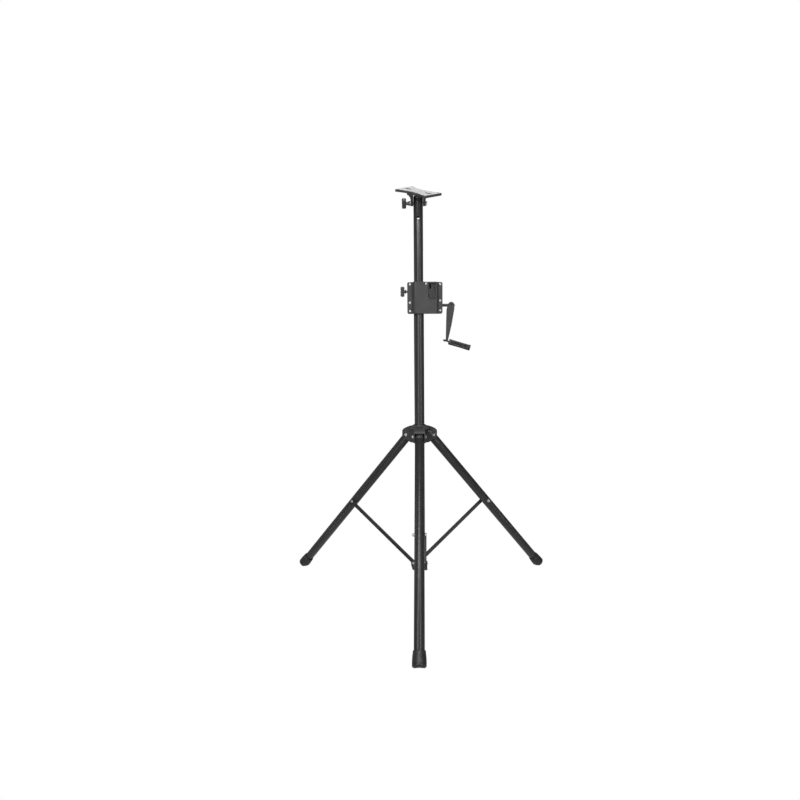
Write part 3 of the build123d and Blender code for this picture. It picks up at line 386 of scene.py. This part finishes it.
def make_grip():
    """A hand grip with lengthwise flutes, a groove beside each collar and rounded ends."""
    joint = JOINTS["grip_turn"]
    place = axes_at(joint["pos_m"], joint["axis"], (0, 1, 0))
    face = 1.0 - 2.6 / GRIP_R
    # Each station is a height in millimetres, then the radius and the flutes' depth as parts of GRIP_R.
    stations = [(0.4, face - 0.1, 0.0), (0.4, face, 0.0), (1.0, 0.93, 0.0), (2.2, 1.0, 0.0), (5.6, 1.0, 0.0),
                (6.2, 0.94, 0.0), (7.6, 0.94, 0.0), (8.4, 0.99, 0.02), (FLUTES_FROM, 1.0, FLUTE_DEPTH)]
    for index in range(1, GRIP_STEPS):
        t = index / GRIP_STEPS
        height = FLUTES_FROM + (FLUTES_TO - FLUTES_FROM) * t
        stations.append((height, 1.0 - GRIP_WAIST * math.sin(math.pi * t), FLUTE_DEPTH))
    stations += [(FLUTES_TO, 1.0, FLUTE_DEPTH), (76.6, 0.99, 0.02), (77.4, 0.94, 0.0), (78.8, 0.94, 0.0),
                 (79.4, 1.0, 0.0), (83.4, 1.0, 0.0), (85.2, 0.94, 0.0), (85.9, 0.82, 0.0), (85.9, 0.50, 0.0),
                 (80.2, 0.46, 0.0), (80.2, 0.05, 0.0)]
    rings = [circle(place, height * MM, GRIP_R * MM * scale, FLUTES * FLUTE_POINTS, fluted(depth))
             for height, scale, depth in stations]
    sleeve = loft("crank_grip_sleeve", rings)
    place_piece("crank_grip_sleeve", sleeve, "black_plastic", "grip", "crank_grip", "grip_plastic")


# --- rubber boots ---------------------------------------------------------
# In millimetres. Heights run down the leg, and are 0 where the axis of its tube ends.
LEG_END_R = 609.0        # where that is: out from the column and up from the floor
LEG_END_Z = 8.0
BOOT_HOLE_R = 17.55      # the hole that holds the tube, and how deep it goes
BOOT_HOLE_END = -10.0
BOOT_TOP = -47.0
BOOT_LIP_R = 20.6
BOOT_R = 23.0            # the full radius, and the height from which the boot has it
BOOT_FULL = -12.0
BOOT_SOLE = 3.0
BOOT_CORNER = 4.5        # rounding between the side and the sole
SWELL_STEPS = 6


def boot_profile():
    """Heights and radii of a boot: its hole, rolled lip, swelling side, groove and sole."""
    top, lip, sole = BOOT_TOP, BOOT_LIP_R, BOOT_SOLE
    profile = [(BOOT_HOLE_END, 0.1), (BOOT_HOLE_END, BOOT_HOLE_R), (top, BOOT_HOLE_R)]
    profile += arc((top + 1.2, lip - 1.2), 1.2, 180, 90, 4)
    profile += [(top + 4.0, lip + 0.2), (top + 4.5, lip - 0.3), (top + 5.3, lip - 0.3)]
    start, slim = top + 5.8, lip + 0.3
    profile.append((start, slim))
    for index in range(1, SWELL_STEPS + 1):
        t = index / SWELL_STEPS
        swell = math.sin(math.pi / 2 * t)
        profile.append((start + (BOOT_FULL - start) * t, slim + (BOOT_R - slim) * swell))
    groove = BOOT_R - 0.6
    profile += [(-6.4, BOOT_R), (-6.0, groove), (-5.2, groove), (-4.8, BOOT_R)]
    profile += arc((sole - BOOT_CORNER, BOOT_R - BOOT_CORNER), BOOT_CORNER, 90, 0, 6)
    pad = BOOT_R - BOOT_CORNER - 0.6
    profile += [(sole - 0.7, pad), (sole + 0.9, pad), (sole + 1.2, pad - 0.4), (sole + 1.2, 0.1)]
    return profile


def make_boot(leg):
    """A rubber boot over the end of a leg, cut flat where it would go into the floor."""
    pivot = Vector(JOINTS[leg + "_leg_fold"]["pos_m"])
    outward = Vector((pivot.x, pivot.y, 0)).normalized()
    end = outward * LEG_END_R * MM + Vector((0, 0, LEG_END_Z * MM))
    place = axes_at(end, end - pivot, outward.cross(Vector((0, 0, 1))))
    rings = [circle(place, height * MM, radius * MM, 72) for height, radius in boot_profile()]
    for ring in rings:
        for point in ring:
            point.z = max(point.z, 0.0)
    name = leg + "_boot_rubber"
    place_piece(name, loft(name, rings), "boot_rubber", leg + "_leg", leg + "_leg_boot")


# --- winch window ---------------------------------------------------------
# The dark sheet behind the lock slider, painted shade for the window's recess, in millimetres: its outline
# in x and z, the slot up its middle, and its faces in y.
SHADE_SHEET_LEFT, SHADE_SHEET_RIGHT = 34.2, 64.8
SHADE_SHEET_LOW, SHADE_SHEET_HIGH = 1168.0, 1212.0
SHADE_SHEET_SLOT_LEFT, SHADE_SHEET_SLOT_RIGHT, SHADE_SHEET_SLOT_TOP = 40.6, 45.4, 1208.0
SHADE_SHEET_FRONT, SHADE_SHEET_BACK = -18.2, -17.0
SHADE_SHEET_EDGE = 0.3


def prism(name, outline, near, far):
    """A plate between two y values, its outline given in x and z, in millimetres."""
    bm = bmesh.new()
    front = [bm.verts.new((x * MM, near * MM, z * MM)) for x, z in outline]
    back = [bm.verts.new((x * MM, far * MM, z * MM)) for x, z in outline]
    bm.faces.new(front)
    bm.faces.new(list(reversed(back)))
    for index in range(len(outline)):
        after = (index + 1) % len(outline)
        bm.faces.new((front[index], back[index], back[after], front[after]))
    return close_mesh(bm, name)


def make_window_shade_sheet():
    """A slotted sheet in the darkest rubber finish behind the lock slider: painted shade in the window's
    recess.
    """
    outline = [(SHADE_SHEET_LEFT, SHADE_SHEET_LOW), (SHADE_SHEET_SLOT_LEFT, SHADE_SHEET_LOW), (SHADE_SHEET_SLOT_LEFT, SHADE_SHEET_SLOT_TOP),
               (SHADE_SHEET_SLOT_RIGHT, SHADE_SHEET_SLOT_TOP), (SHADE_SHEET_SLOT_RIGHT, SHADE_SHEET_LOW), (SHADE_SHEET_RIGHT, SHADE_SHEET_LOW),
               (SHADE_SHEET_RIGHT, SHADE_SHEET_HIGH), (SHADE_SHEET_LEFT, SHADE_SHEET_HIGH)]
    mesh = prism("lock_slider_painted_shade_sheet", outline, SHADE_SHEET_FRONT, SHADE_SHEET_BACK)
    # Painted shade: the darkest finish stands in for the shadow inside the window's recess.
    shade_sheet = place_piece("lock_slider_painted_shade_sheet", mesh, "boot_rubber", "column")
    edge = shade_sheet.modifiers.new("bevel", "BEVEL")
    edge.width = SHADE_SHEET_EDGE * MM
    edge.segments = 2


make_knobs()
make_grip()
make_window_shade_sheet()
for LEG in ("front", "right", "left"):
    make_boot(LEG)


# --- studio ---------------------------------------------------------------
STUDIO_R = 7.0           # of the round studio, in metres
STUDIO_HEIGHT = 7.0
STUDIO_BEND = 2.0        # radius from the floor into the wall and from the wall into the ceiling
BEND_STEPS = 8
NEARLY_ZERO = 0.01


def make_studio():
    """A round white studio: floor, wall and ceiling in one shell that mirrors don't see."""
    side = STUDIO_R - STUDIO_BEND
    rise = STUDIO_HEIGHT - STUDIO_BEND
    angles = [math.pi / 2 * k / BEND_STEPS for k in range(1, BEND_STEPS + 1)]
    profile = [(0.0, NEARLY_ZERO), (0.0, side)]
    profile += [(STUDIO_BEND - STUDIO_BEND * math.cos(a), side + STUDIO_BEND * math.sin(a)) for a in angles]
    profile += [(rise, STUDIO_R)]
    profile += [(rise + STUDIO_BEND * math.sin(a), side + STUDIO_BEND * math.cos(a)) for a in angles]
    profile += [(STUDIO_HEIGHT, NEARLY_ZERO)]
    mesh = turned("studio_shell", Matrix.Identity(4), profile, 64)
    shell = bpy.data.objects.new("studio_shell", mesh)
    bpy.context.scene.collection.objects.link(shell)
    mat, _, shader = new_material("studio_white")
    shader.inputs["Base Color"].default_value = (0.0, 0.0, 0.0, 1.0)
    shader.inputs["Specular IOR Level"].default_value = 0.0
    shader.inputs["Roughness"].default_value = 1.0
    shader.inputs["Emission Color"].default_value = (1.0, 1.0, 1.0, 1.0)
    shader.inputs["Emission Strength"].default_value = 1.0
    mesh.materials.append(mat)
    shell.visible_glossy = False


def softbox(name, place, target, size, radiance):
    """A rectangular light of the given radiance, hidden from the camera."""
    light = bpy.data.lights.new(name, "AREA")
    light.shape = "RECTANGLE"
    light.size, light.size_y = size
    light.energy = radiance * math.pi * size[0] * size[1]
    obj = bpy.data.objects.new(name, light)
    obj.location = place
    direction = Vector(target) - Vector(place)
    obj.rotation_euler = direction.to_track_quat("-Z", "Y").to_euler()
    obj.visible_camera = False
    bpy.context.scene.collection.objects.link(obj)


def make_lights():
    """Tall strips for the bands along the tubes, and softboxes for the plate, the legs and the grip."""
    middle = (0.0, 0.0, 0.8)
    head = (0.0, 0.0, 1.54)
    front_leg = (0.0, -0.35, 0.3)
    crank = (0.15, 0.0, 1.0)
    softbox("left_strip", (-1.25, -2.95, 1.5), middle, (0.34, 3.8), 12.5)
    softbox("right_strip", (1.75, -2.60, 1.5), middle, (0.34, 3.8), 9.0)
    softbox("left_edge", (-3.2, 0.9, 1.2), middle, (0.8, 3.0), 1.2)
    softbox("back_top", (0.0, 2.6, 3.25), head, (2.4, 1.0), 2.2)
    softbox("leg_strip", (-0.35, -1.3, 2.9), front_leg, (0.26, 1.8), 16.0)
    softbox("grip_strip", (0.3, -2.0, 3.1), crank, (1.8, 0.3), 16.0)


AIR_BELOW = 0.55         # strength of the mirrored air, below and above the horizon
AIR_ABOVE = 0.08
BLEND_FROM = -0.45       # heights of a direction between which one passes into the other
BLEND_TO = -0.05


def make_world():
    """What the gloss mirrors: dim air, brighter below the horizon."""
    world = bpy.data.worlds.new("studio_air")
    world.use_nodes = True
    tree = world.node_tree
    background = tree.nodes["Background"]
    coords = tree.nodes.new("ShaderNodeTexCoord")
    parts = tree.nodes.new("ShaderNodeSeparateXYZ")
    tree.links.new(coords.outputs["Generated"], parts.inputs["Vector"])
    height = tree.nodes.new("ShaderNodeMapRange")
    height.inputs["From Min"].default_value = BLEND_FROM
    height.inputs["From Max"].default_value = BLEND_TO
    height.inputs["To Min"].default_value = AIR_BELOW
    height.inputs["To Max"].default_value = AIR_ABOVE
    tree.links.new(parts.outputs["Z"], height.inputs["Value"])
    tree.links.new(height.outputs["Result"], background.inputs["Strength"])
    background.inputs["Color"].default_value = (1.0, 1.0, 1.0, 1.0)
    bpy.context.scene.world = world


CAMERA_PLACE = (0.00014, -2.4338, 1.0090)    # in metres
CAMERA_PITCH = 8.277                         # degrees down
CAMERA_ROLL = -0.36                          # degrees


def make_camera():
    """A camera about 2.4 m in front of the column and 1 m up, looking a little down."""
    data = bpy.data.cameras.new("camera")
    data.sensor_width = 36.0
    data.lens = 28.5
    data.shift_x = -0.0245
    data.shift_y = 0.0375
    data.clip_end = 60.0
    camera = bpy.data.objects.new("camera", data)
    tilt = Matrix.Rotation(math.pi / 2 - math.radians(CAMERA_PITCH), 4, "X")
    roll = Matrix.Rotation(math.radians(CAMERA_ROLL), 4, "Z")
    camera.matrix_world = Matrix.Translation(CAMERA_PLACE) @ tilt @ roll
    bpy.context.scene.collection.objects.link(camera)
    bpy.context.scene.camera = camera


make_studio()
make_lights()
make_world()
make_camera()
bpy.context.scene.view_settings.view_transform = "Standard"
